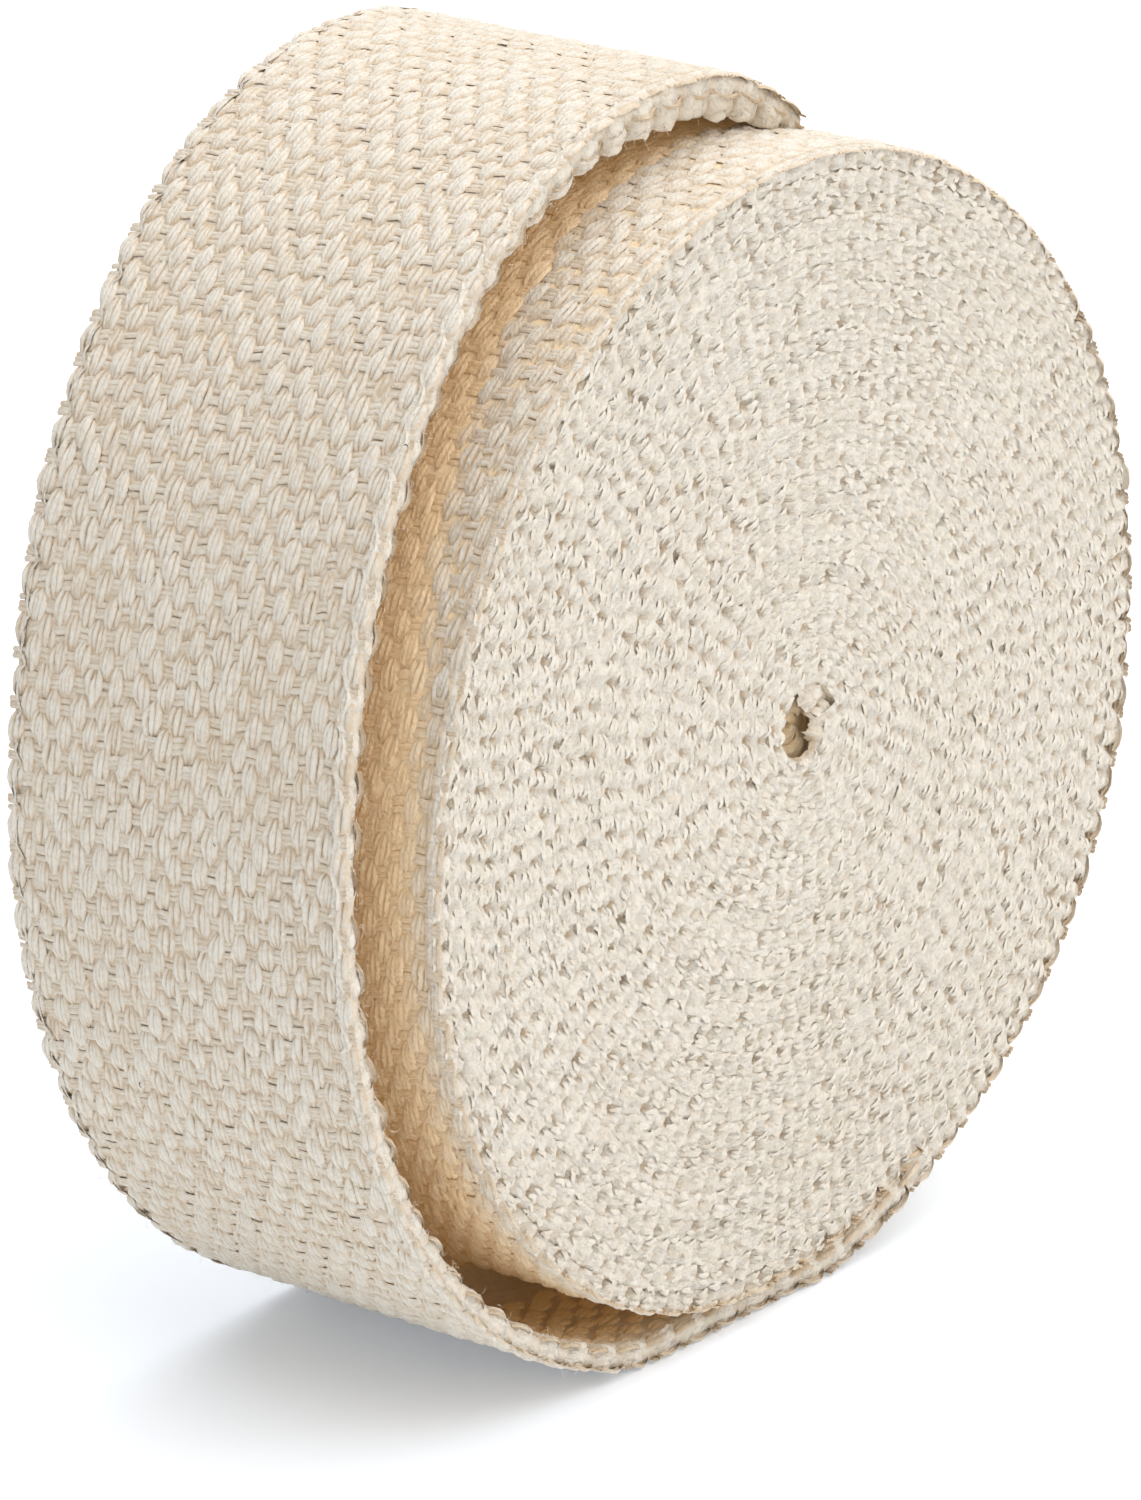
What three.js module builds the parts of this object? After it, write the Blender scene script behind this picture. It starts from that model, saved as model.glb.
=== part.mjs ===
// A roll of cotton webbing standing on its edge.
// The whole roll is one length of tape: a tight coil, and its outermost turn, which has gone slack.
// The slack turn leaves the coil low on the far side, lies flat on the ground, bulges out in front,
// drifts sideways off the coil's edge as it rises, and its cut end drops back on top.
// Units are millimetres. +X is the coil's axis, out of its open face, and +Z is up.
// The origin is on the ground under the coil's axis, half way across the coil.
// A turn angle is measured clockwise from the top, as seen from +X, in degrees.

import * as THREE from "three";
import { mergeVertices } from "three/addons/utils/BufferGeometryUtils.js";

const tapeWidth = 38;
const tapeThickness = 2.73;
const coilRadius = 54.7; // outside of the outermost tight turn, at turn angle 90
const axisHeight = 56.3;
const joinAngle = 156; // where the slack turn leaves the coil
const endAngle = 374; // where the tape is cut, just past the top
const eyeRadius = 2.4; // inside of the first turn, where the tape starts
const eyeStartAngle = 70;
const eyeY = 2.2; // the eye sits a little off the coil's axis
const eyeZ = -0.35;
const coilStep = 3; // degrees between points
const eyeStep = 15;

// How far the coil's outside stands proud of a true spiral, once round.
const coilUnevenness = [
  { angle: 0, rise: -0.3 },
  { angle: 40, rise: -1.0 },
  { angle: 80, rise: -0.1 },
  { angle: 120, rise: 1.25 },
  { angle: 160, rise: 0.2 },
  { angle: 200, rise: 1.5 },
  { angle: 240, rise: 1.1 },
  { angle: 280, rise: -0.4 },
  { angle: 320, rise: 0.05 },
  { angle: 360, rise: -0.3 },
];

// The slack turn: the clearance under it, and how far it has slid towards -X.
const slackTurn = [
  { angle: 156, clearance: 0, slide: 0 },
  { angle: 166, clearance: 0.8, slide: 0.6 },
  { angle: 176, clearance: 1.2, slide: 1.1 },
  { angle: 186, clearance: 1.3, slide: 1.5 },
  { angle: 196, clearance: 2.2, slide: 1.9 },
  { angle: 206, clearance: 3.4, slide: 2.2 },
  { angle: 226, clearance: 5.0, slide: 2.7 },
  { angle: 246, clearance: 5.2, slide: 3.2 },
  { angle: 276, clearance: 4.9, slide: 4.5 },
  { angle: 306, clearance: 5.3, slide: 6.4 },
  { angle: 330, clearance: 6.0, slide: 8.0 },
  { angle: 345, clearance: 5.5, slide: 8.8 },
  { angle: 360, clearance: 3.6, slide: 9.3 },
  { angle: 374, clearance: 0.4, slide: 9.5 },
];

const radians = THREE.MathUtils.degToRad;

// The slope of one column of a table at a row, from the rows beside it.
function slopeAt(table, column, row) {
  const before = table[Math.max(row - 1, 0)];
  const after = table[Math.min(row + 1, table.length - 1)];
  return (after[column] - before[column]) / (after.angle - before.angle);
}

// One column of a table at any angle, on a smooth curve through its rows.
function lookUp(table, column, angle) {
  const last = table.length - 1;
  const clamped = THREE.MathUtils.clamp(angle, table[0].angle, table[last].angle);
  const found = table.findIndex((row) => row.angle > clamped);
  const upper = found < 0 ? last : found;
  const low = table[upper - 1];
  const high = table[upper];
  const span = high.angle - low.angle;
  const f = (clamped - low.angle) / span;
  const rise = high[column] - low[column];
  const lowSlope = slopeAt(table, column, upper - 1) * span;
  const highSlope = slopeAt(table, column, upper) * span;
  return (
    low[column] +
    lowSlope * f +
    (3 * rise - 2 * lowSlope - highSlope) * f ** 2 +
    (lowSlope + highSlope - 2 * rise) * f ** 3
  );
}

// The outside of the tight coil: a spiral that grows by one thickness a turn.
function coilOutside(angle) {
  const aroundOnce = THREE.MathUtils.euclideanModulo(angle, 360);
  const grown = (tapeThickness * (angle - 90)) / 360;
  return coilRadius + grown + lookUp(coilUnevenness, "rise", aroundOnce);
}

// The outside of the slack turn, pressed flat where it would reach below the ground.
function slackOutside(angle) {
  const onCoil = coilOutside(angle - 360) + tapeThickness;
  const free = onCoil + lookUp(slackTurn, "clearance", angle);
  const drop = -Math.cos(radians(angle));
  return drop > 0.5 ? Math.min(free, axisHeight / drop) : free;
}

function slackInside(angle) {
  return slackOutside(angle) - tapeThickness;
}

// A point of the cross-section at a turn angle, in a frame centred on the coil's axis.
function pointAt(angle, radius) {
  return new THREE.Vector2(
    radius * Math.sin(radians(angle)),
    radius * Math.cos(radians(angle)),
  );
}

// Points along an arc whose radius depends on the angle, both ends included.
function arcPoints(from, to, step, radiusAt) {
  const count = Math.ceil(Math.abs(to - from) / step);
  const points = [];
  for (let i = 0; i <= count; i++) {
    const angle = from + ((to - from) * i) / count;
    points.push(pointAt(angle, radiusAt(angle)));
  }
  return points;
}

// The tape's outline as seen from +X: round the coil, out along the slack turn, back inside it.
function rollShape() {
  const coil = arcPoints(joinAngle - 360, joinAngle, coilStep, coilOutside);
  const outside = arcPoints(joinAngle, endAngle, coilStep, slackOutside).slice(1);
  const inside = arcPoints(endAngle, joinAngle, coilStep, slackInside).slice(0, -1);
  const shape = new THREE.Shape([...coil, ...outside, ...inside]);
  shape.holes.push(eyePath());
  return shape;
}

// The eye in the middle: the inside of the first turn, with a step at the tape's own start.
// It is drawn the opposite way round to the outline, as a hole is.
function eyePath() {
  const turn = (angle) =>
    eyeRadius + (tapeThickness * (angle - eyeStartAngle)) / 360;
  const points = arcPoints(eyeStartAngle + 360, eyeStartAngle, eyeStep, turn);
  const centre = new THREE.Vector2(eyeY, eyeZ);
  return new THREE.Path(points.map((point) => point.add(centre)));
}

// How far a point of the cross-section has slid: nothing on the coil itself.
function slideAt(y, z) {
  const top = THREE.MathUtils.radToDeg(Math.atan2(y, z));
  const turned = THREE.MathUtils.euclideanModulo(top, 360);
  const angle = turned < joinAngle ? turned + 360 : turned;
  const slack = angle <= endAngle + 0.01;
  const offCoil = Math.hypot(y, z) > coilOutside(angle - 360) + 0.02;
  return slack && offCoil ? lookUp(slackTurn, "slide", angle) : 0;
}

function rollGeometry() {
  const extruded = new THREE.ExtrudeGeometry(rollShape(), {
    depth: tapeWidth,
    steps: 1,
    bevelEnabled: false,
  });
  extruded.deleteAttribute("normal");
  extruded.deleteAttribute("uv");
  const geometry = mergeVertices(extruded, 1e-3);
  const position = geometry.getAttribute("position");
  for (let i = 0; i < position.count; i++) {
    const y = position.getX(i);
    const z = position.getY(i);
    const x = position.getZ(i) - tapeWidth / 2 - slideAt(y, z);
    position.setXYZ(i, x, y, z);
  }
  geometry.computeVertexNormals();
  return geometry;
}

const cotton = new THREE.MeshStandardMaterial({
  color: 0xe2d8c4,
  roughness: 0.95,
  metalness: 0,
});

const roll = new THREE.Mesh(rollGeometry(), cotton);
roll.name = "webbing_roll";
roll.position.set(0, 0, axisHeight);

const webbing = new THREE.Group();
webbing.add(roll);

export default webbing;
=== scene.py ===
import math

import bmesh
import bpy
import numpy as np
from mathutils import Matrix, Vector


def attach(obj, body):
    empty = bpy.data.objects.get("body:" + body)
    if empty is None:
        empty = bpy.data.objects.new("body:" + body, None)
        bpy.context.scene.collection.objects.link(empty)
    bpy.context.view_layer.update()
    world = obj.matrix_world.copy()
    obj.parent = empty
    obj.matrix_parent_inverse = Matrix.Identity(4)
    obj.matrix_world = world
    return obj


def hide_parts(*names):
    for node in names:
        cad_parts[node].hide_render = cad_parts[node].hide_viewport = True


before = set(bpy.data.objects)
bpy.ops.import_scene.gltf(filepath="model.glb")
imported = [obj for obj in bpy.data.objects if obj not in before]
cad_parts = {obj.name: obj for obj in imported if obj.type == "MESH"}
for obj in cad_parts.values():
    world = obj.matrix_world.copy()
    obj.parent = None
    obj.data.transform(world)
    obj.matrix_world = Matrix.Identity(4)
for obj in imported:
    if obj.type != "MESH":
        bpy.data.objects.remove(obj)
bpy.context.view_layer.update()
mm = 0.001
rng = np.random.default_rng(11)

# Sizes that every piece shares, in millimetres and degrees.
# A turn angle is measured clockwise from the top, as seen from +X.
# Across the tape x runs from -19 to 19, and the roll's open face is at 19.
roll = {
    "tapeWidth": 38.0,
    "slackThickness": 2.73,  # a turn that nothing presses
    "coilRadius": 54.7,  # outside of the outermost tight turn, at turn angle 90
    "axisHeight": 56.3,
    "joinAngle": 156.0,  # where the slack turn leaves the coil
    "endAngle": 374.0,  # where the tape is cut
    "eyeRadius": 2.4,
    "eyeStartAngle": 70.0,
    "eyeCentre": (2.2, -0.35),
    "turns": 23,  # whole turns in the coil
    "innerPitch": 2.26,  # from turn to turn near the eye
    "floatPitch": 4.3,  # along the tape, in the middle of its thickness
    "columns": 27,
    "columnPitch": 1.378,
    "skew": -0.11,  # the weft leans back as it crosses the tape
    "endPress": 14.0,  # degrees over which the cut end droops and thins
    "endDrop": 1.9,
    "endSink": 0.75,
    "endSag": 1.9,  # the slack turn's edges hang lower near the cut end
    "sagStart": 322.0,
    "sagRun": 28.0,
    "edgeDepth": 0.55,  # the edges' pads stand this far inside the tape's full width
}
# How far the coil's outside stands proud of a true spiral: angle, rise.
coilUnevenness = np.array([
    (0, -0.3), (40, -1.0), (80, -0.1), (120, 1.25), (160, 0.2),
    (200, 1.5), (240, 1.1), (280, -0.4), (320, 0.05), (360, -0.3),
])
# The slack turn: angle, clearance under it, slide towards -X.
slackTurn = np.array([
    (156, 0, 0), (166, 0.8, 0.6), (176, 1.2, 1.1), (186, 1.3, 1.5), (196, 2.2, 1.9),
    (206, 3.4, 2.2), (226, 5.0, 2.7), (246, 5.2, 3.2), (276, 4.9, 4.5), (306, 5.3, 6.4),
    (330, 6.0, 8.0), (345, 5.5, 8.8), (360, 3.6, 9.3), (374, 0.4, 9.5),
])


def lookUp(table, column, angle):
    # one column of a table at any angle, on a smooth curve through its rows
    last = len(table) - 1
    angle = np.clip(angle, table[0, 0], table[last, 0])
    upper = np.clip(np.searchsorted(table[:, 0], angle, side="right"), 1, last)

    def slopeAt(row):
        before = np.maximum(row - 1, 0)
        after = np.minimum(row + 1, last)
        return (table[after, column] - table[before, column]) / (table[after, 0] - table[before, 0])

    span = table[upper, 0] - table[upper - 1, 0]
    f = (angle - table[upper - 1, 0]) / span
    rise = table[upper, column] - table[upper - 1, column]
    lowSlope = slopeAt(upper - 1) * span
    highSlope = slopeAt(upper) * span
    curve = (3 * rise - 2 * lowSlope - highSlope) * f**2 + (lowSlope + highSlope - 2 * rise) * f**3
    return table[upper - 1, column] + lowSlope * f + curve


def coilOutside(angle):
    grown = roll["slackThickness"] * (angle - 90) / 360
    return roll["coilRadius"] + grown + lookUp(coilUnevenness, 1, np.mod(angle, 360))


def tapeOutside(angle):
    # the outside of the last tight turn, and of the slack turn past the join
    onCoil = coilOutside(angle - 360) + roll["slackThickness"]
    free = onCoil + lookUp(slackTurn, 1, angle)
    drop = -np.cos(np.radians(angle))
    pressed = np.minimum(free, roll["axisHeight"] / np.maximum(drop, 0.5))
    slack = np.where(drop > 0.5, pressed, free)
    return np.where(angle > roll["joinAngle"], slack, coilOutside(angle))


def slideAt(angle):
    return np.where(angle > roll["joinAngle"], lookUp(slackTurn, 2, angle), 0.0)


def direction(angle):
    a = np.radians(angle)
    return np.stack([np.sin(a), np.cos(a)], -1)


def lengthAlong(points):
    steps = np.linalg.norm(np.diff(points, axis=0), axis=1)
    return np.concatenate([[0.0], np.cumsum(steps)])


# Length along the outer two turns, in the middle of the tape, nought at the join.
wrapAngles = np.linspace(roll["joinAngle"] - 360, roll["endAngle"], 3000)
middle = tapeOutside(wrapAngles) - roll["slackThickness"] / 2
wrapLength = lengthAlong(direction(wrapAngles) * middle[:, None])
wrapLength -= np.interp(roll["joinAngle"], wrapAngles, wrapLength)
tapeEnd = wrapLength[-1]


def wrapRadius(angle, w):
    # the radius at a height w over the tape's outside, which droops towards the cut end
    pressed = np.clip((angle - roll["endAngle"] + roll["endPress"]) / roll["endPress"], 0, 1) ** 1.6
    inward = np.clip(-w / roll["slackThickness"], 0, 1)
    drop = roll["endDrop"] + (roll["endSink"] - roll["endDrop"]) * inward
    return tapeOutside(angle) + w - pressed * drop


def onTape(points):
    # from x across, v along and w out of the outside face to the roll, in metres
    angle = np.interp(points[..., 1], wrapLength, wrapAngles)
    radius = wrapRadius(angle, points[..., 2])
    place = direction(angle) * radius[..., None]
    height = np.maximum(place[..., 1] + roll["axisHeight"], 0.0)
    return np.stack([points[..., 0] - slideAt(angle), place[..., 0], height], -1) * mm


def inTape(points):
    # the same for the inside face, where w points towards the axis
    turned = points.copy()
    turned[..., 2] = -roll["slackThickness"] - points[..., 2]
    return onTape(turned)


# The tight turns: the boundary between two turns, counted from the inside of the first.
lastBoundary = roll["turns"] + 1 + (roll["joinAngle"] - roll["eyeStartAngle"]) / 360


def boundaryRadius(count):
    outer = roll["coilRadius"] + roll["slackThickness"] * (roll["joinAngle"] - 90) / 360
    reach = outer - roll["slackThickness"] - roll["eyeRadius"]
    inside = lastBoundary - 1
    easing = (roll["innerPitch"] * inside - reach) / inside**2
    tight = roll["eyeRadius"] + roll["innerPitch"] * count - easing * count**2
    last = roll["eyeRadius"] + reach + roll["slackThickness"] * (count - inside)
    return np.where(count < inside, tight, last)


def boundaryAt(angle):
    count = lastBoundary + (angle - roll["joinAngle"]) / 360
    radius = boundaryRadius(count)
    share = np.clip(radius / roll["coilRadius"], 0, 1)
    uneven = lookUp(coilUnevenness, 1, np.mod(angle, 360)) * share**3
    uneven = uneven + 0.16 * np.sin(np.radians(angle) * 1.31 + 1) * (1 - share) * share * 4
    centre = np.array(roll["eyeCentre"]) * (1 - share)[..., None]
    return centre + direction(angle) * (radius + uneven)[..., None]


turnAngles = np.arange(roll["joinAngle"] - 360 * (lastBoundary - 1), roll["joinAngle"] + 12, 2.0)
turnMiddle = (boundaryAt(turnAngles) + boundaryAt(turnAngles - 360)) / 2
turnLength = lengthAlong(turnMiddle)
turnLength -= np.interp(roll["joinAngle"], turnAngles, turnLength)
coilStart = turnLength[0]
lastTurn = np.interp(roll["joinAngle"] - 360, turnAngles, turnLength)


def onFace(points, side):
    # from v along, q across a turn's thickness and r out of the face to the roll, in metres
    angle = np.interp(points[..., 0], turnLength, turnAngles)
    outer = boundaryAt(angle)
    inner = boundaryAt(angle - 360)
    place = (outer + inner) / 2 + (outer - inner) / 2 * points[..., 1:2]
    # some turns stand a little proud of their neighbours
    count = angle / 360
    proud = 0.07 * np.sin(count * 2 * np.pi * 0.618) + 0.06 * np.sin(count * 2 * np.pi * 1.37 + 2)
    x = side * (roll["tapeWidth"] / 2 - roll["edgeDepth"] + points[..., 2] + proud)
    return np.stack([x, place[..., 0], place[..., 1] + roll["axisHeight"]], -1) * mm


def onEdge(points, side):
    # the same for the slack turn's two edges
    angle = np.interp(points[..., 0], wrapLength, wrapAngles)
    sag = roll["endSag"] * np.clip((angle - roll["sagStart"]) / roll["sagRun"], 0, 1)
    radius = wrapRadius(angle, (roll["slackThickness"] + sag) / 2 * (points[..., 1] - 1))
    place = direction(angle) * radius[..., None]
    height = np.maximum(place[..., 1] + roll["axisHeight"], 0.0)
    x = side * (roll["tapeWidth"] / 2 - roll["edgeDepth"] + points[..., 2]) - slideAt(angle)
    return np.stack([x, place[..., 0], height], -1) * mm


print("paths ready: coil of", round(-coilStart), "mm, slack turn of", round(tapeEnd), "mm")


class Wire:
    # a shader socket that sums can be written with
    def __init__(self, tree, socket):
        self.tree = tree
        self.socket = socket

    def sum(self, kind, first, second):
        node = self.tree.nodes.new("ShaderNodeMath")
        node.operation = kind
        for slot, value in zip(node.inputs, (first, second)):
            if isinstance(value, Wire):
                self.tree.links.new(value.socket, slot)
            else:
                slot.default_value = value
        return Wire(self.tree, node.outputs[0])

    def __add__(self, other):
        return self.sum("ADD", self, other)

    def __radd__(self, other):
        return self.sum("ADD", other, self)

    def __sub__(self, other):
        return self.sum("SUBTRACT", self, other)

    def __rsub__(self, other):
        return self.sum("SUBTRACT", other, self)

    def __mul__(self, other):
        return self.sum("MULTIPLY", self, other)

    def __rmul__(self, other):
        return self.sum("MULTIPLY", other, self)


class Bench:
    # one material's nodes
    def __init__(self, name):
        self.material = bpy.data.materials.new(name)
        self.material.use_nodes = True
        self.tree = self.material.node_tree
        self.tree.nodes.clear()

    def node(self, kind, settings=None, inputs=None, output=0):
        made = self.tree.nodes.new(kind)
        for name, value in (settings or {}).items():
            setattr(made, name, value)
        for name, value in (inputs or {}).items():
            if isinstance(value, Wire):
                self.tree.links.new(value.socket, made.inputs[name])
            else:
                made.inputs[name].default_value = value
        return Wire(self.tree, made.outputs[output])

    def mix(self, factor, first, second):
        return self.node(
            "ShaderNodeMix",
            {"data_type": "RGBA"},
            {0: factor, 6: first, 7: second},
            output=2,
        )

    def surface(self, settings):
        shader = self.node("ShaderNodeBsdfPrincipled", None, settings)
        end = self.tree.nodes.new("ShaderNodeOutputMaterial")
        self.tree.links.new(shader.socket, end.inputs["Surface"])
        return self.material


# Undyed cotton yarn. "yarn" holds where a point lies across and along its strand, in millimetres,
# and a number for its strand. "rise" is the point's height over the bottom of the weave, and low
# places are painted with shade in the hollow colour. "shelter" is 1 deep in the gap under the slack
# turn and in the eye, where a warm tan is painted in as shade with bounced light, and a faint painted
# glow as light that comes through the cloth. The last attribute is 1 on a fleck of husk, and lower
# values paint shade in the eye with the husk colour.
cottonLook = {
    "cream": (0.815, 0.750, 0.640),
    "pale": (0.870, 0.820, 0.725),
    # painted shade, for the weave's low places
    "hollow": (0.71, 0.57, 0.41),
    # painted shade with warm bounced light, deep in the gap and in the eye
    "sheltered": (0.94, 0.71, 0.44),
    # painted light: a faint glow of the cloth itself in sheltered places
    "glow": (0.040, 0.026, 0.010),  # light that comes through the cloth in a sheltered place
    # a fleck of husk; the same colour paints shade in the eye
    "huskAndShade": (0.12, 0.08, 0.05),
    "twist": 1.6,  # turns of twist in a millimetre
    "roughness": 0.94,
    "sheen": 0.10,
}


def cottonMaterial():
    bench = Bench("natural_cotton")
    yarn = bench.node("ShaderNodeAttribute", {"attribute_name": "yarn"}, output="Vector")
    across = bench.node("ShaderNodeSeparateXYZ", None, {"Vector": yarn}, "X")
    along = bench.node("ShaderNodeSeparateXYZ", None, {"Vector": yarn}, "Y")
    strand = bench.node("ShaderNodeSeparateXYZ", None, {"Vector": yarn}, "Z")
    rise = bench.node("ShaderNodeAttribute", {"attribute_name": "rise"}, output="Fac")
    shelter = bench.node("ShaderNodeAttribute", {"attribute_name": "shelter"}, output="Fac")
    huskAndShade = bench.node("ShaderNodeAttribute", {"attribute_name": "huskAndShade"}, output="Fac")
    place = bench.node("ShaderNodeTexCoord", output="Object")

    # fibres run along each strand, crinkled
    lie = bench.node(
        "ShaderNodeCombineXYZ",
        None,
        {"X": across * 3.4, "Y": along * 0.8, "Z": strand * 37.0},
    )
    fibre = bench.node(
        "ShaderNodeTexNoise",
        {"noise_type": "RIDGED_MULTIFRACTAL", "normalize": True},
        {"Vector": lie, "Scale": 1.5, "Detail": 2.0, "Distortion": 1.1},
    )
    cloudy = bench.node("ShaderNodeTexNoise", None, {"Vector": place, "Scale": 60.0, "Detail": 3.0})
    matted = bench.node(
        "ShaderNodeTexNoise",
        None,
        {"Vector": place, "Scale": 1700.0, "Detail": 3.0, "Distortion": 0.8},
    )
    # twist runs slantwise over each strand
    turned = (across * 1.5 + along) * (cottonLook["twist"] * 2 * math.pi)
    ridge = bench.node("ShaderNodeMath", {"operation": "SINE"}, {0: turned + strand * 40.0})

    tone = strand * 0.2 + fibre * 0.35 + cloudy * 0.9 - 0.2
    clean = bench.mix(tone, (*cottonLook["cream"], 1.0), (*cottonLook["pale"], 1.0))
    # painted shade: the lower a point lies in the weave, the more it takes the hollow colour
    depth = bench.node(
        "ShaderNodeMapRange",
        {"interpolation_type": "SMOOTHSTEP"},
        {"Value": rise, "From Min": 0.0, "From Max": 0.42, "To Min": 0.85, "To Max": 0.0},
    )
    # painted shade: the low spots of the matted bump are darkened towards the hollow colour too
    mottle = bench.node(
        "ShaderNodeMapRange",
        {"interpolation_type": "SMOOTHSTEP"},
        {"Value": matted, "From Min": 0.36, "From Max": 0.56, "To Min": 0.4, "To Max": 0.0},
    )
    shaded = bench.mix(depth + mottle, clean, (*cottonLook["hollow"], 1.0))
    # painted shade and bounced light: sheltered places turn a warm tan
    warmShaded = bench.mix(shelter * 0.93, shaded, (*cottonLook["sheltered"], 1.0))
    # husk flecks, and painted shade in the eye, in the husk colour
    colour = bench.mix(huskAndShade, warmShaded, (*cottonLook["huskAndShade"], 1.0))

    height = ridge * 0.008 + fibre * 0.08 + matted * 0.13
    bump = bench.node("ShaderNodeBump", None, {"Height": height, "Strength": 1.0, "Distance": 1.0 * mm})
    # painted light: sheltered places glow faintly, for light that comes through the cloth
    glow = bench.mix(shelter, (0.0, 0.0, 0.0, 1.0), (*cottonLook["glow"], 1.0))
    return bench.surface({
        "Base Color": colour,
        "Emission Color": glow,
        "Emission Strength": 1.0,
        "Roughness": cottonLook["roughness"],
        "Specular IOR Level": 0.2,
        "Sheen Weight": cottonLook["sheen"],
        "Sheen Roughness": 0.6,
        "Normal": bump,
    })


cotton = cottonMaterial()
print("cotton ready")


# Painted shade where the cloth is sheltered by the slack turn, in millimetres and degrees
gapShade = {
    "reach": 0.6,  # how far past the slack turn's edge the shade ends, at the top
    "lowReach": 7.5,  # how much further it reaches lower down
    "topInset": 3.2,  # light comes in this far under the edge at the top
    "endFade": 8,  # degrees over which it ends at the cut end
    "edgeFade": 5,  # from the tape's own edges inwards
}


def shelterAt(points):
    # how far a point of the coil's outside, x and v, lies in the gap under the slack turn, and so how much
    # painted shade it takes
    angle = np.interp(points[..., 1], wrapLength, wrapAngles)
    edgeX = roll["tapeWidth"] / 2 - slideAt(angle + 360)
    reach = gapShade["reach"] + gapShade["lowReach"] * (1 - np.cos(np.radians(angle))) ** 1.5
    edgeX = edgeX - gapShade["topInset"] * np.clip(np.cos(np.radians(angle)), 0, 1)
    bare = np.clip((points[..., 0] - edgeX) / reach, 0, 1)
    covered = np.clip((roll["endAngle"] - 360 + 4 - angle) / gapShade["endFade"], 0, 1)
    return (1 - bare * bare * (3 - 2 * bare)) * covered * inwards(points)


def inwards(points):
    # 0 at the tape's edges and 1 a few millimetres in; painted shade fades out towards the edges with it
    inset = roll["tapeWidth"] / 2 + 0.4 - np.abs(points[..., 0])
    return np.clip(inset / gapShade["edgeFade"], 0, 1) ** 1.5


def ripples(number, shortest, longest):
    # a few plane waves, in random directions, that crinkle what lies on them
    length = rng.uniform(shortest, longest, number)
    heading = rng.uniform(0, 2 * np.pi, number)
    waves = np.stack([np.cos(heading) / length, np.sin(heading) / length, rng.random(number)], -1)
    return waves * 2 * np.pi


def crinkle(waves, a, b):
    total = np.zeros(np.broadcast(a, b).shape)
    for alongA, alongB, phase in waves:
        total += np.sin(alongA * a + alongB * b + phase)
    return total / math.sqrt(len(waves))


fineWaves = ripples(9, 0.9, 2.6)
padWaves = ripples(11, 0.75, 1.9)
sideWaves = ripples(9, 0.9, 2.2)


def stampFaces(across, along):
    # the corners of a flat patch of faces, which every strand repeats
    patch = bmesh.new()
    bmesh.ops.create_grid(patch, x_segments=across, y_segments=along, size=0.5)
    corners = np.array([[v.index for v in face.verts] for face in patch.faces])
    patch.free()
    return corners


# Cross-sections of a strand, in its half widths and half heights
roundTop = np.array([(-1.0, -1.5), (-0.55, 0.5), (0.55, 0.5), (1.0, -1.5)])
lowTop = np.array([(-1.0, -1.2), (0.0, 0.7), (1.0, -1.2)])
ribbon = np.array([(-1.0, 0.0), (1.0, 0.0)])


def setAttributes(mesh, values):
    for name, data in values.items():
        data = np.asarray(data, np.float32)
        if data.ndim == 2:
            mesh.attributes.new(name, "FLOAT_VECTOR", "POINT").data.foreach_set("vector", data.ravel())
        else:
            mesh.attributes.new(name, "FLOAT", "POINT").data.foreach_set("value", data)


class Strands:
    # strands of yarn, gathered as swept strips and joined into one mesh
    def __init__(self):
        self.points = []
        self.faces = []
        self.yarn = []
        self.rise = []
        self.shelter = []
        self.huskAndShade = []
        self.count = 0

    def add(
        self, centre, halfWidth, halfHeight, section, place, bottom,
        mirrored=False, shelter=0.0, huskAndShade=0.0,
    ):
        # centre holds n strands of k points, each across, along and up in a flat frame
        n, k, _ = centre.shape
        forward = np.gradient(centre, axis=1)
        forward /= np.linalg.norm(forward, axis=2, keepdims=True)
        side = np.cross(forward, np.array([0.0, 0.0, 1.0]))
        side /= np.maximum(np.linalg.norm(side, axis=2, keepdims=True), 1e-6)
        lift = np.cross(side, forward)
        width = np.broadcast_to(halfWidth, (n, k))[:, :, None, None]
        flat = (
            centre[:, :, None]
            + side[:, :, None] * width * section[:, 0][None, None, :, None]
            + lift[:, :, None] * halfHeight * section[:, 1][None, None, :, None]
        )
        corners = stampFaces(len(section) - 1, k - 1)
        if mirrored:
            corners = corners[:, ::-1]
        offsets = (np.arange(n) * k * len(section) + self.count)[:, None, None]
        steps = np.linalg.norm(np.diff(centre, axis=1), axis=2)
        travelled = np.concatenate([np.zeros((n, 1)), np.cumsum(steps, axis=1)], axis=1)
        key = rng.random(n)
        yarn = np.empty((n, k, len(section), 3))
        yarn[..., 0] = (width * section[:, 0][None, None, :, None])[..., 0]
        yarn[..., 1] = (travelled + key[:, None] * 30)[:, :, None]
        yarn[..., 2] = key[:, None, None]
        total = n * k * len(section)
        self.points.append(place(flat).reshape(-1, 3))
        self.faces.append((corners[None] + offsets).reshape(-1, 4))
        self.yarn.append(yarn.reshape(-1, 3))
        self.rise.append((flat[..., 2] - bottom).ravel())
        self.shelter.append(np.repeat(np.broadcast_to(shelter, n), k * len(section)))
        self.huskAndShade.append(np.full(total, huskAndShade))
        self.count += total

    def make(self, name):
        mesh = bpy.data.meshes.new(name)
        mesh.from_pydata(np.concatenate(self.points).tolist(), [], np.concatenate(self.faces).tolist())
        mesh.shade_smooth()
        setAttributes(mesh, {
            "yarn": np.concatenate(self.yarn),
            "rise": np.concatenate(self.rise),
            "shelter": np.concatenate(self.shelter),
            "huskAndShade": np.concatenate(self.huskAndShade),
        })
        return addPiece(name, mesh)


triangles = {}


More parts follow.
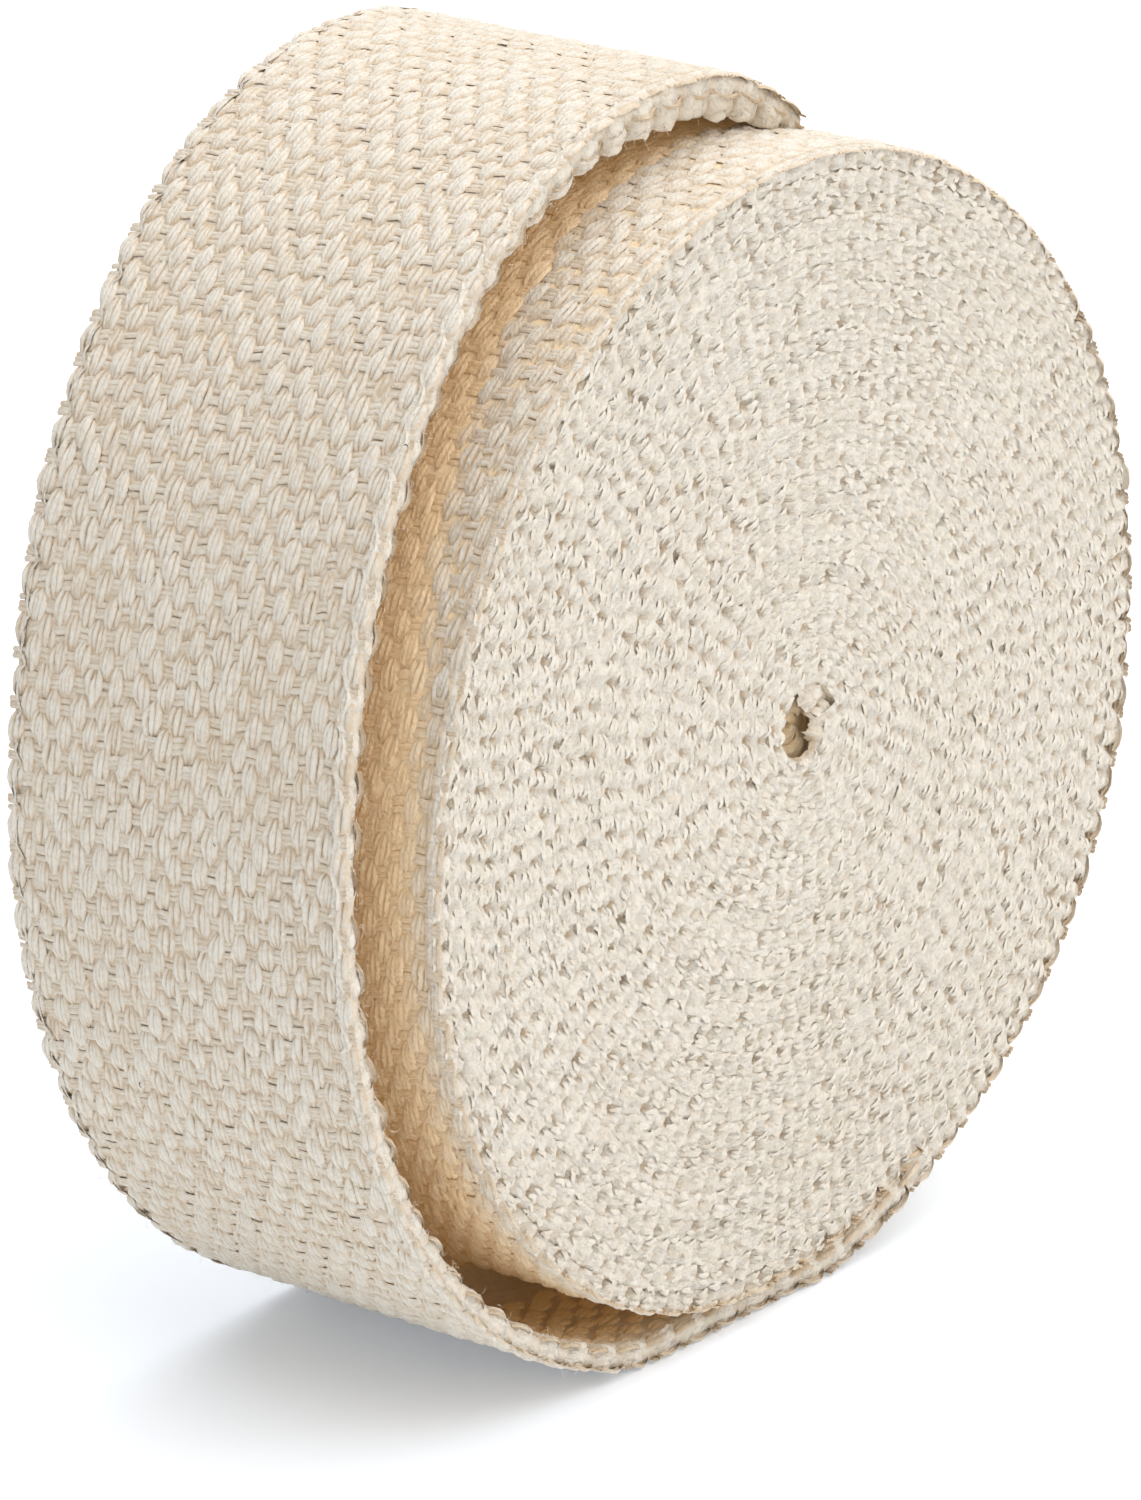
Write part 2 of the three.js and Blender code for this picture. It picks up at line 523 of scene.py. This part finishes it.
def addPiece(name, mesh):
    piece = bpy.data.objects.new(name, mesh)
    bpy.context.scene.collection.objects.link(piece)
    mesh.materials.append(cotton)
    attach(piece, "root")
    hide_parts("webbing_roll")
    mesh.calc_loop_triangles()
    triangles[name] = len(mesh.loop_triangles)
    print(name, triangles[name], "triangles")
    return piece


# The weave: each warp column goes over one weft and under the next, half a pitch off its neighbours.
weave = {
    "halfLength": 1.70,  # of a float
    "halfWidth": 0.62,  # from a float's middle to its outer strands
    "strandWidth": 0.34,
    "strandHeight": 0.17,
    "top": -0.17,  # of a strand's middle, under the face of the tape
    "dive": 0.50,  # from there to where a float sinks between its neighbours
    "slant": 0.15,
    "fourStrands": 0.45,  # the share of the floats that have four strands, where the rest have three
    "endScatter": 0.24,  # how unevenly a float's strands start
    "weftTop": -0.29,
    "weftReach": 0.90,
    "weftSpacing": 0.42,
    "weftHalfWidth": 0.27,
    "weftHalfHeight": 0.10,
    "ground": -0.53,
}


def cellCentres(firstLength, lastLength, columns):
    # x and v of each float's middle
    pitch = roll["floatPitch"]
    x = (roll["columns"] - 1) / 2 * roll["columnPitch"] - columns * roll["columnPitch"]
    leaning = roll["skew"] * (roll["tapeWidth"] / 2 - x) + (columns % 2) * pitch / 2
    first = math.floor(firstLength / pitch) - 1
    last = math.ceil(lastLength / pitch) + 3
    rows = np.arange(first, last)
    v = rows[:, None] * pitch + leaning[None]
    xs = np.broadcast_to(x, v.shape)
    inside = (v > firstLength) & (v < lastLength)
    return np.stack([xs[inside], v[inside]], -1)


def addFloats(strands, centres, place, section, steps, mirrored=False, shelter=None):
    n = len(centres)
    shade = np.zeros(n) if shelter is None else shelter(centres)
    t = np.linspace(-1, 1, steps + 1)
    lens = np.cos(t * 1.46) ** 0.75
    slant = rng.normal(weave["slant"], 0.07, n)
    stretch = rng.normal(1.0, 0.06, n)
    plump = rng.normal(1.0, 0.10, n)
    shift = rng.normal(0, 0.08, (n, 2))
    tall = rng.normal(0, 0.06, n)
    four = rng.random(n) < weave["fourStrands"]
    for chosen, places in ((~four, (-1, 0, 1)), (four, (-1, -0.34, 0.34, 1))):
        c = centres[chosen] + shift[chosen]
        for j in places:
            spread = (0.25 + 0.75 * lens) * weave["halfWidth"]
            x = j * spread[None] * plump[chosen][:, None] + slant[chosen][:, None] * t[None]
            x = c[:, :1] + x + rng.normal(0, 0.05, (len(c), 1))
            v = t[None] * weave["halfLength"] * stretch[chosen][:, None]
            v = c[:, 1:] + v + rng.normal(0, weave["endScatter"], (len(c), 1))
            w = weave["top"] - weave["dive"] * (1 - lens)[None] - 0.07 * abs(j) + tall[chosen][:, None]
            w = w + rng.normal(0, 0.025, (len(c), 1)) + 0.03 * crinkle(fineWaves, x, v)
            x = x + 0.045 * crinkle(sideWaves, x, v)
            thin = 0.80 if len(places) == 4 else 1.0
            halfWidth = weave["strandWidth"] * thin * (0.40 + 0.60 * lens)
            strands.add(
                np.stack([x, v, w], -1), halfWidth[None], weave["strandHeight"], section, place,
                weave["ground"], mirrored, shade[chosen],
            )


def addWefts(strands, centres, place, mirrored=False, shelter=None):
    # the short stretch of weft that shows between two floats of a row
    n = len(centres)
    shade = 0.0 if shelter is None else shelter(centres)
    t = np.linspace(-1, 1, 4)
    arch = np.cos(t * 1.3)
    for j in (-1, 0, 1):
        x = centres[:, :1] + np.broadcast_to(t[None] * weave["weftReach"], (n, 4))
        v = j * weave["weftSpacing"] + rng.normal(0, 0.10, (n, 1)) - roll["skew"] * t[None]
        v = v + 0.08 * crinkle(sideWaves, x, x)
        v = v + centres[:, 1:] + roll["floatPitch"] / 2
        w = weave["weftTop"] - 0.20 * (1 - arch)[None] + rng.normal(0, 0.04, (n, 1))
        centre = np.stack([x, v, np.broadcast_to(w, x.shape)], -1)
        strands.add(
            centre, weave["weftHalfWidth"], weave["weftHalfHeight"], lowTop, place,
            weave["ground"], mirrored, shade,
        )


# The edge of the tape, seen end on: the weft's loops make a matted pad in each pitch, and between
# two pads there is a small hollow, nearer to the tape's inside.
edge = {
    "padStart": -0.25,
    "padLength": 3.35,
    "tuck": 1.28,  # how far a pad's sides reach in under the next turn's
    "slit": 0.17,  # how far the edge dips between two pads
    "notch": 0.62,  # the same on the slack turn, whose edges stand free
    "slitHalfWidth": 0.54,
    "slitShare": (0.75, 1.2),  # the narrowest and the widest, as shares of that
    "relief": 0.11,  # of the matted yarn
    "hollows": ((0.0, -0.30, 1.0), (0.5, 0.30, 0.85)),  # along a pitch, across the turn, size
    "hollowDepth": 1.10,
    "hollowShare": (0.25, 1.1),  # the shallowest and the deepest, as shares of that
    "hollowScatter": 0.13,
    "hollowHalfHeight": 0.50,
    "crease": 0.20,  # between one turn and the next
    "rimCrease": 0.45,  # inside the outermost turn
    "loopRise": -0.02,
    "loopSink": 0.30,
    "loopHalfHeight": 0.07,
    "loopHalfWidth": (0.15, 0.27),
    "loopSpread": 0.78,  # how far the outer loops lie from a pad's middle
    "bottom": -0.85,
}


def drift(v):
    # the turns slip past each other a little, so their pads don't line up
    return 0.75 * np.sin(v / 61 + 1) + 0.6 * np.sin(v / 37 + 2) + 0.35 * np.sin(v / 17)


def addPads(
    name, firstLength, lastLength, place, side, halfPitch, across, perPitch, phase,
    rounding=0.0, shelter=0.0, huskAndShade=0.0,
):
    # rounding is 0 where the next turn covers the pad's sides, and else the depth of its round edge
    pitch = roll["floatPitch"]
    steps = round((lastLength - firstLength) / pitch * perPitch)
    body = bmesh.new()
    bmesh.ops.create_grid(body, x_segments=steps, y_segments=across, size=0.5)
    if side < 0:
        bmesh.ops.reverse_faces(body, faces=body.faces[:])
    mesh = bpy.data.meshes.new(name)
    body.to_mesh(mesh)
    body.free()
    flat = np.empty(len(mesh.vertices) * 3)
    mesh.vertices.foreach_get("co", flat)
    flat = flat.reshape(-1, 3)
    v = (flat[:, 0] + 0.5) * (lastLength - firstLength) + firstLength
    q = flat[:, 1] * 2 * edge["tuck"]
    bend = 0
    if rounding:
        turned = flat[:, 1] * math.pi
        q = 0.92 * np.sin(turned)
        bend = rounding * (1 - np.cos(turned))
    r = edge["relief"] * crinkle(padWaves, v, q * halfPitch) - 0.05 - edge["crease"] * np.abs(q) ** 6 - bend
    if not rounding:
        r -= edge["rimCrease"] * np.exp(-((q + 1) / 0.25) ** 2) * (v > lastTurn)
        q = np.where((v > lastTurn) & (q > 0.75), 0.75 + (q - 0.75) * 0.3, q)
    notch = edge["notch"] if rounding else edge["slit"]
    hollows = edge["hollows"][:1] if rounding else edge["hollows"]
    for offset, middle, size in hollows:
        slid = (v - phase + drift(v)) / pitch - 0.3 + offset
        cell = np.floor(slid).astype(int)
        away = (slid - cell - 0.57) * pitch
        cell -= cell.min()
        count = cell.max() + 1
        away = away + rng.normal(0, edge["hollowScatter"], count)[cell]
        depth = edge["hollowDepth"] * rng.uniform(*edge["hollowShare"], count)
        wide = edge["slitHalfWidth"] * rng.uniform(*edge["slitShare"], count)
        up = (q - middle - rng.normal(0, 0.08, count)[cell]) * halfPitch / edge["hollowHalfHeight"]
        slit = np.exp(-(away / wide[cell]) ** 2)
        r -= size * slit * (notch + depth[cell] * np.exp(-up * up))
    spot = np.stack([v + 0.05 * crinkle(sideWaves, v, q * halfPitch), q, r], -1)
    mesh.vertices.foreach_set("co", place(spot).ravel())
    mesh.shade_smooth()
    tone = 0.5 + 0.25 * crinkle(sideWaves, v * 0.5, q)
    setAttributes(mesh, {
        "yarn": np.stack([q * halfPitch, v, tone], -1),
        "rise": r + bend - edge["bottom"],
        "shelter": np.full(len(r), shelter),
        "huskAndShade": np.full(len(r), huskAndShade),
    })
    mesh.update()
    return addPiece(name, mesh)


def addLoops(
    strands, firstLength, lastLength, place, side, number, section, phase,
    rounding=0.0, bulk=1.0, parts=1,
):
    # crinkled strands that lie over each pad, or over each of its parts
    spacing = roll["floatPitch"] / parts
    places = np.arange(math.ceil(firstLength / spacing), math.floor(lastLength / spacing))
    starts = places * spacing + phase
    starts = starts - drift(starts)
    starts = starts[starts > firstLength + 0.4]
    n = len(starts)
    t = np.linspace(0, 1, 7 - parts)
    room = edge["padLength"] / parts
    bow = np.sin(np.pi * t) ** 0.6
    shortest = 0.85 if rounding else 0.25 + 0.25 * parts
    for j in range(number):
        across = edge["loopSpread"] * (2 * j / (number - 1) - 1)
        length = room * rng.uniform(shortest, 1.0, (n, 1))
        start = edge["padStart"] + (room - length) * rng.uniform(0, 1, (n, 1))
        v = starts[:, None] + start + length * t[None]
        q = across + rng.normal(0.1, 0.3, (n, 1)) * (t - 0.5)[None] + rng.normal(0, 0.12, (n, 1))
        q = q + rng.normal(0, 0.12, (n, 1)) * np.sin(np.pi * t)
        q = q + 0.10 * crinkle(sideWaves, v * 1.5, q * 3)
        sink = edge["loopSink"] + 0.7 * rounding
        r = edge["loopRise"] - sink * (1 - bow)[None] + rng.normal(0, 0.05, (n, 1))
        r = r + 0.05 * crinkle(fineWaves, v * 1.3, q * 2)
        q = np.where(v > lastTurn, np.minimum(q, 0.72), q)
        if rounding:
            q = np.clip(q, -0.95, 0.95) * 0.92
            r = r - rounding * (1 - np.sqrt(1 - (q / 0.92) ** 2))
        halfWidth = rng.uniform(*edge["loopHalfWidth"], (n, 1)) * (0.4 + 0.6 * bow)[None] * bulk
        bottom = edge["bottom"] - rounding
        halfHeight = edge["loopHalfHeight"] * bulk
        strands.add(np.stack([v, q, r], -1), halfWidth, halfHeight, section, place, bottom, side < 0)


def addFuzz(strands, roots, place, mirrored, longest, seedling=0.0, thick=0.014):
    # loose fibres that stand a little off the cloth; roots are points in the flat frame
    n = len(roots)
    t = np.linspace(0, 1, 4)[None, :]
    heading = rng.uniform(0, 2 * np.pi, (n, 1))
    bend = rng.normal(0, 1.6, (n, 1))
    length = rng.uniform(0.35, 1.0, (n, 1)) * longest
    a = roots[:, :1] + length * t * np.cos(heading + bend * t)
    b = roots[:, 1:2] + length * t * np.sin(heading + bend * t)
    c = roots[:, 2:] + length * rng.uniform(0.05, 0.45, (n, 1)) * np.sin(np.pi * t * 0.75)
    strands.add(np.stack([a, b, c], -1), thick, thick, ribbon, place, -2.0, mirrored, 0.0, seedling)


def scatter(number, firstLow, firstHigh, secondLow, secondHigh, up):
    first = rng.uniform(firstLow, firstHigh, number)
    second = rng.uniform(secondLow, secondHigh, number)
    return np.stack([first, second, np.full(number, up)], -1)


# The slack turn, woven a little past the join so that nothing shows between it and the coil
slackParts = {
    "start": -1.0,
    "outsideMargin": 1.1,  # from the last float to the cut end
    "insideMargin": 1.5,
    "loopMargin": 1.0,
    "hiddenColumns": (11, 17),  # these never show on the inside
    "rounding": 0.7,
    "bulk": 1.3,
    "inset": 1.6,  # the closed body is this much narrower than the tape
}
half = roll["tapeWidth"] / 2
slackStart = slackParts["start"]
halfThickness = roll["slackThickness"] / 2
slack = Strands()
allColumns = np.arange(roll["columns"])
slackCells = cellCentres(slackStart, tapeEnd - slackParts["outsideMargin"], allColumns)
addFloats(slack, slackCells, onTape, roundTop, 5)
addWefts(slack, slackCells, onTape)
slackOut = slack.make("slack_turn_outside")

slack = Strands()
firstHidden, lastHidden = slackParts["hiddenColumns"]
edgeColumns = allColumns[(allColumns < firstHidden) | (allColumns > lastHidden)]
insideCells = cellCentres(slackStart, tapeEnd - slackParts["insideMargin"], edgeColumns)
insideCells = insideCells + np.array([0, roll["floatPitch"] / 2])
# the inside of the slack turn is painted with warm shade, less towards its edges
addFloats(slack, insideCells, inTape, lowTop, 4, True, inwards)
slackIn = slack.make("slack_turn_inside")


def nearEdge(points):
    return onEdge(points, 1)


def farEdge(points):
    return onEdge(points, -1)


def openFace(points):
    return onFace(points, 1)


def backFace(points):
    return onFace(points, -1)


halfPitch = roll["floatPitch"] / 2
rounding = slackParts["rounding"]
nearPads = addPads(
    "slack_turn_near_selvedge", slackStart, tapeEnd, nearEdge, 1, halfThickness, 10, 12, 0.0, rounding,
)
farPads = addPads(
    "slack_turn_far_selvedge", slackStart, tapeEnd, farEdge, -1, halfThickness, 10, 12, halfPitch, rounding,
)
slack = Strands()
loopEnd = tapeEnd - slackParts["loopMargin"]
addLoops(slack, slackStart, loopEnd, nearEdge, 1, 9, roundTop, 0.0, rounding, slackParts["bulk"])
addLoops(slack, slackStart, loopEnd, farEdge, -1, 8, roundTop, halfPitch, rounding, slackParts["bulk"])
slackEdges = slack.make("slack_turn_edge_loops")

# The coil: its outside where the slack turn leaves it bare, the strip that shows in the gap,
# and the edges of its turns on both faces
coilParts = {
    "underEnd": 6,  # degrees that the bare part reaches in under the cut end
    "underColumns": 15,
    "pastJoin": 3.0,  # the faces run on under the slack turn
    "faceBulk": 1.1,
    "inset": 1.6,
    "eyeWall": 1.4,  # the closed body's eye is this much wider than the tape's, in radius
    # painted shade on the closed ring, under the slack turn and where it lies bare
    "underShelter": 0.85,
    "bareShelter": 0.1,
}
wrapStart = wrapLength[0]
bareStart = np.interp(roll["endAngle"] - 360 - coilParts["underEnd"], wrapAngles, wrapLength)
coil = Strands()
bareCells = cellCentres(bareStart, slackStart, allColumns)
addFloats(coil, bareCells, onTape, roundTop, 5, shelter=shelterAt)
addWefts(coil, bareCells, onTape, shelter=shelterAt)
coil.make("coil_outside")

coil = Strands()
hiddenCells = cellCentres(wrapStart, bareStart, np.arange(coilParts["underColumns"]))
addFloats(coil, hiddenCells, onTape, lowTop, 5, shelter=shelterAt)
addWefts(coil, hiddenCells, onTape, shelter=shelterAt)
coil.make("coil_under_slack")

turnHalf = roll["innerPitch"] / 2
faceEnd = coilParts["pastJoin"]
addPads("coil_face", coilStart, faceEnd, openFace, 1, turnHalf, 8, 11, 0.0)
addPads("coil_back_face", coilStart, faceEnd, backFace, -1, turnHalf, 4, 9, halfPitch)
coil = Strands()
addLoops(coil, coilStart, faceEnd, openFace, 1, 3, lowTop, 0.0, bulk=coilParts["faceBulk"], parts=2)
coil.make("coil_face_loops")
coil = Strands()
addLoops(coil, coilStart, faceEnd, backFace, -1, 2, lowTop, halfPitch)
coil.make("coil_back_loops")


def finishGround(name, body, shelter):
    # a plain body that shows only between the strands; its low rise paints it partly with hollow shade, and
    # its shelter adds painted warm shade
    mesh = bpy.data.meshes.new(name)
    body.to_mesh(mesh)
    body.free()
    mesh.shade_smooth()
    count = len(mesh.vertices)
    setAttributes(mesh, {
        "yarn": np.full((count, 3), 0.5),
        "rise": np.full(count, 0.25),
        "shelter": np.full(count, shelter),
    })
    return addPiece(name, mesh)


def slackGround():
    # the tape's closed body, just under its floats
    body = bmesh.new()
    bmesh.ops.create_grid(body, x_segments=12, y_segments=120, size=0.5)
    flat = np.array([v.co for v in body.verts])
    flat[:, 0] *= roll["tapeWidth"] - slackParts["inset"]
    flat[:, 1] = (flat[:, 1] + 0.5) * (tapeEnd - slackStart - 0.4) + slackStart
    flat[:, 2] = weave["ground"]
    for vert, point in zip(body.verts, onTape(flat)):
        vert.co = point
    body.normal_update()
    thickness = roll["slackThickness"] + 2 * weave["ground"]
    bmesh.ops.solidify(body, geom=body.faces[:], thickness=thickness * mm)
    return finishGround("slack_turn", body, 0.0)


def coilGround():
    # one closed ring of the coil's section, with its eye
    body = bmesh.new()
    steps = 240
    bmesh.ops.create_grid(body, x_segments=steps, y_segments=4, size=0.5)
    flat = np.array([v.co for v in body.verts]) + 0.5
    column = np.rint(flat[:, 0] * steps).astype(int) % steps
    corner = np.rint(flat[:, 1] * 4).astype(int)
    angles = roll["joinAngle"] - 360 + column * 360 / steps
    outer = direction(angles) * (coilOutside(angles) + weave["ground"])[:, None]
    eye = np.array(roll["eyeCentre"]) + direction(angles) * (roll["eyeRadius"] + coilParts["eyeWall"])
    place = np.where(np.isin(corner, (2, 3))[:, None], eye, outer)
    x = (roll["tapeWidth"] / 2 - coilParts["inset"]) * np.array([1, -1, -1, 1, 1])[corner]
    for vert, across, (y, z) in zip(body.verts, x, place):
        vert.co = Vector((across, y, z + roll["axisHeight"])) * mm
    bmesh.ops.remove_doubles(body, verts=body.verts[:], dist=0.001 * mm)
    bmesh.ops.recalc_face_normals(body, faces=body.faces[:])
    # painted shade: the ring is tinted warm where the slack turn covers it
    spots = np.array([v.co for v in body.verts]) / mm
    around = np.degrees(np.arctan2(spots[:, 1], spots[:, 2] - roll["axisHeight"]))
    cutAngle = roll["endAngle"] - 360 - coilParts["underEnd"]
    covered = (around < cutAngle) | (around > roll["joinAngle"])
    shelter = np.where(covered, coilParts["underShelter"], coilParts["bareShelter"])
    return finishGround("coil", body, shelter)


slackBody = slackGround()
coilGround()

# The eye: the tape's first few millimetres are curled up in it, over a hollow that the tape closes.
eyeCurl = {
    "length": 7.8,
    "radius": (3.3, 2.5),  # at its start and at its end
    "angle": (-15.0, 140.0),
    "recess": (0.6, 0.1),
    "halfThickness": 1.5,
    # painted warm shade
    "shelter": 0.12,
    # painted shade: how far the yarn is darkened with the husk colour
    "paintedShade": 0.04,
}
eyeHollow = {
    "length": 11.0,
    "radius": (0.5, 3.3),
    "angle": (-250.0, 240.0),
    "recess": (2.1, 1.7),
    "halfThickness": 1.15,
    # painted warm shade, as deep in the gap
    "shelter": 1.0,
    # painted shade: how far the yarn deep in the eye is darkened with the husk colour
    "paintedShade": 0.42,
    "wadDepth": 3.2,
    "wadReach": 1.7,  # how far the floor of the eye reaches past the eye's radius
}


def curlPoint(points, side, curl):
    # v runs from 0 to the curl's length, q across it and r out of the face
    share = points[..., 0] / curl["length"]
    angle = curl["angle"][0] + (curl["angle"][1] - curl["angle"][0]) * share
    radius = curl["radius"][0] + (curl["radius"][1] - curl["radius"][0]) * share
    recess = curl["recess"][0] + (curl["recess"][1] - curl["recess"][0]) * share
    place = direction(angle) * (radius + points[..., 1] * curl["halfThickness"])[..., None]
    y = place[..., 0] + roll["eyeCentre"][0]
    z = place[..., 1] + roll["eyeCentre"][1] + roll["axisHeight"]
    return np.stack([side * (half - roll["edgeDepth"] - recess + points[..., 2]), y, z], -1) * mm


eyeStrands = Strands()


def addCurl(name, curl, side, rounding):
    def place(points):
        return curlPoint(points, side, curl)

    addPads(
        name, 0.0, curl["length"], place, side, curl["halfThickness"], 10, 16, 1.2, rounding,
        curl["shelter"], curl["paintedShade"],
    )
    if curl["shelter"] < 0.5:
        addLoops(eyeStrands, 0.0, curl["length"], place, side, 7, lowTop, 0.9, rounding, 1.2, 2)


addCurl("eye_curl", eyeCurl, 1, 0.7)
addCurl("eye_curl_back", eyeCurl, -1, 0.7)
addCurl("eye_hollow", eyeHollow, 1, 0.3)
addCurl("eye_hollow_back", eyeHollow, -1, 0.3)
eyeStrands.make("eye_loops")


def eyeFloor():
    # what lies under the hollows on both sides, painted with full warm shade
    body = bmesh.new()
    depth = 2 * (half - eyeHollow["wadDepth"])
    radius = roll["eyeRadius"] + eyeHollow["wadReach"]
    bmesh.ops.create_cone(
        body,
        cap_ends=True,
        cap_tris=False,
        segments=32,
        radius1=radius * mm,
        radius2=radius * mm,
        depth=depth * mm,
        matrix=Matrix.Translation(
            Vector((0, roll["eyeCentre"][0], roll["eyeCentre"][1] + roll["axisHeight"])) * mm
        ) @ Matrix.Rotation(math.radians(90), 4, "Y"),
    )
    return finishGround("eye_wad", body, 1.0)


eyeFloor()

# Loose fibres and flecks of husk
fuzz = {
    "onSlack": 2600,
    "onCoil": 900,
    "onFace": 1800,
    "onBack": 500,
    "onEdges": 1400,
    "atGap": 9,
    "longest": 1.9,
    "longestOnFace": 1.2,
    "longestAtEdge": 0.8,
    "longestAtGap": 2.0,
    "flecks": 34,
    "fleckLength": 0.55,
    "fleckThick": 0.055,
}
hair = Strands()
slackRoots = scatter(fuzz["onSlack"], -half, half, slackStart, tapeEnd, -0.25)
addFuzz(hair, slackRoots, onTape, False, fuzz["longest"])
coilRoots = scatter(fuzz["onCoil"], -half, half, bareStart, slackStart, -0.25)
addFuzz(hair, coilRoots, onTape, False, fuzz["longest"])
addFuzz(hair, scatter(fuzz["onFace"], coilStart, 0, -1, 1, 0.05), openFace, False, fuzz["longestOnFace"])
addFuzz(hair, scatter(fuzz["onBack"], coilStart, 0, -1, 1, 0.05), backFace, True, fuzz["longest"])
for place, mirrored in ((nearEdge, False), (farEdge, True)):
    roots = scatter(fuzz["onEdges"] // 2, slackStart, tapeEnd, -1, 1, 0.05)
    addFuzz(hair, roots, place, mirrored, fuzz["longestAtEdge"])
gapStart = np.interp(200, wrapAngles, wrapLength)
gapEnd = np.interp(245, wrapAngles, wrapLength)
gapRoots = scatter(fuzz["atGap"], gapStart, gapEnd, -0.9, 0.9, 0.1)
addFuzz(hair, gapRoots, nearEdge, False, fuzz["longestAtGap"])
for place, first, second, up in (
    (onTape, (-half, half), (bareStart, tapeEnd), -0.02),
    (openFace, (coilStart, 0), (-1, 1), 0.22),
    (backFace, (coilStart, 0), (-1, 1), 0.22),
):
    roots = scatter(fuzz["flecks"] // 2, *first, *second, up)
    addFuzz(hair, roots, place, place is backFace, fuzz["fleckLength"], 1.0, fuzz["fleckThick"])
hair.make("loose_fibres")

print("woven:", sum(triangles.values()), "triangles in all")


# Floor, light and camera
studio = {
    "floor": (0.96, 0.98, 1.0),
    "floorGlow": (0.13, 0.15, 0.18),
    "world": 0.32,
    "top": {"place": (0.1, 0.25, 1.3), "power": 33.0, "size": 2.5, "tint": (0.97, 1.0, 1.05)},
    "right": {"place": (1.1, -0.1, 0.7), "power": 3.7, "size": 0.9, "tint": (1.0, 0.90, 0.79)},
    "front": {"place": (0.35, -1.2, 0.7), "power": 0.4, "size": 0.9, "tint": (1.0, 1.0, 1.0)},
    "left": {"place": (-1.0, -0.6, 0.7), "power": 0.25, "size": 0.9, "tint": (1.0, 1.0, 1.0)},
}
camera = {
    "azimuth": 36.81,
    "elevation": 19.76,
    "roll": 0.30,
    "place": (426.65, -579.32, 308.9),
    "focalPixels": 8350.8,
    "imageHeight": 1500,
    "sensor": 36,
}


def makeFloor():
    body = bmesh.new()
    bmesh.ops.create_grid(body, x_segments=1, y_segments=1, size=3.0)
    mesh = bpy.data.meshes.new("floor")
    body.to_mesh(mesh)
    body.free()
    bench = Bench("pale_floor")
    mesh.materials.append(bench.surface({
        "Base Color": (*studio["floor"], 1.0),
        "Roughness": 0.9,
        "Emission Color": (*studio["floorGlow"], 1.0),
        "Emission Strength": 1.0,
    }))
    floor = bpy.data.objects.new("floor", mesh)
    bpy.context.scene.collection.objects.link(floor)


def makeLight(name):
    light = bpy.data.lights.new(name, "AREA")
    light.energy = studio[name]["power"]
    light.size = studio[name]["size"]
    light.color = studio[name]["tint"]
    lamp = bpy.data.objects.new(name, light)
    bpy.context.scene.collection.objects.link(lamp)
    lamp.location = studio[name]["place"]
    aim = Vector((0, 0, 0.05)) - lamp.location
    lamp.rotation_euler = aim.to_track_quat("-Z", "Y").to_euler()


def makeCamera():
    a, e, r = (math.radians(camera[name]) for name in ("azimuth", "elevation", "roll"))
    back = Vector((math.sin(a) * math.cos(e), -math.cos(a) * math.cos(e), math.sin(e)))
    level = Vector((math.cos(a), math.sin(a), 0))
    upright = back.cross(level)
    right = level * math.cos(r) + upright * math.sin(r)
    up = upright * math.cos(r) - level * math.sin(r)
    lens = bpy.data.cameras.new("camera")
    lens.sensor_width = camera["sensor"]
    lens.lens = lens.sensor_width * camera["focalPixels"] / camera["imageHeight"]
    lens.clip_start = 0.05
    lens.clip_end = 20
    eye = bpy.data.objects.new("camera", lens)
    bpy.context.scene.collection.objects.link(eye)
    turn = Matrix((right, up, back)).transposed().to_4x4()
    eye.matrix_world = Matrix.Translation(Vector(camera["place"]) * mm) @ turn
    bpy.context.scene.camera = eye


def makeWorld():
    world = bpy.data.worlds.new("studio")
    world.use_nodes = True
    background = world.node_tree.nodes["Background"]
    background.inputs["Color"].default_value = (1, 1, 1, 1)
    background.inputs["Strength"].default_value = studio["world"]
    bpy.context.scene.world = world


makeFloor()
for name in ("top", "right", "front", "left"):
    makeLight(name)
makeCamera()
makeWorld()
bpy.context.scene.view_settings.view_transform = "Standard"
print("stage ready")
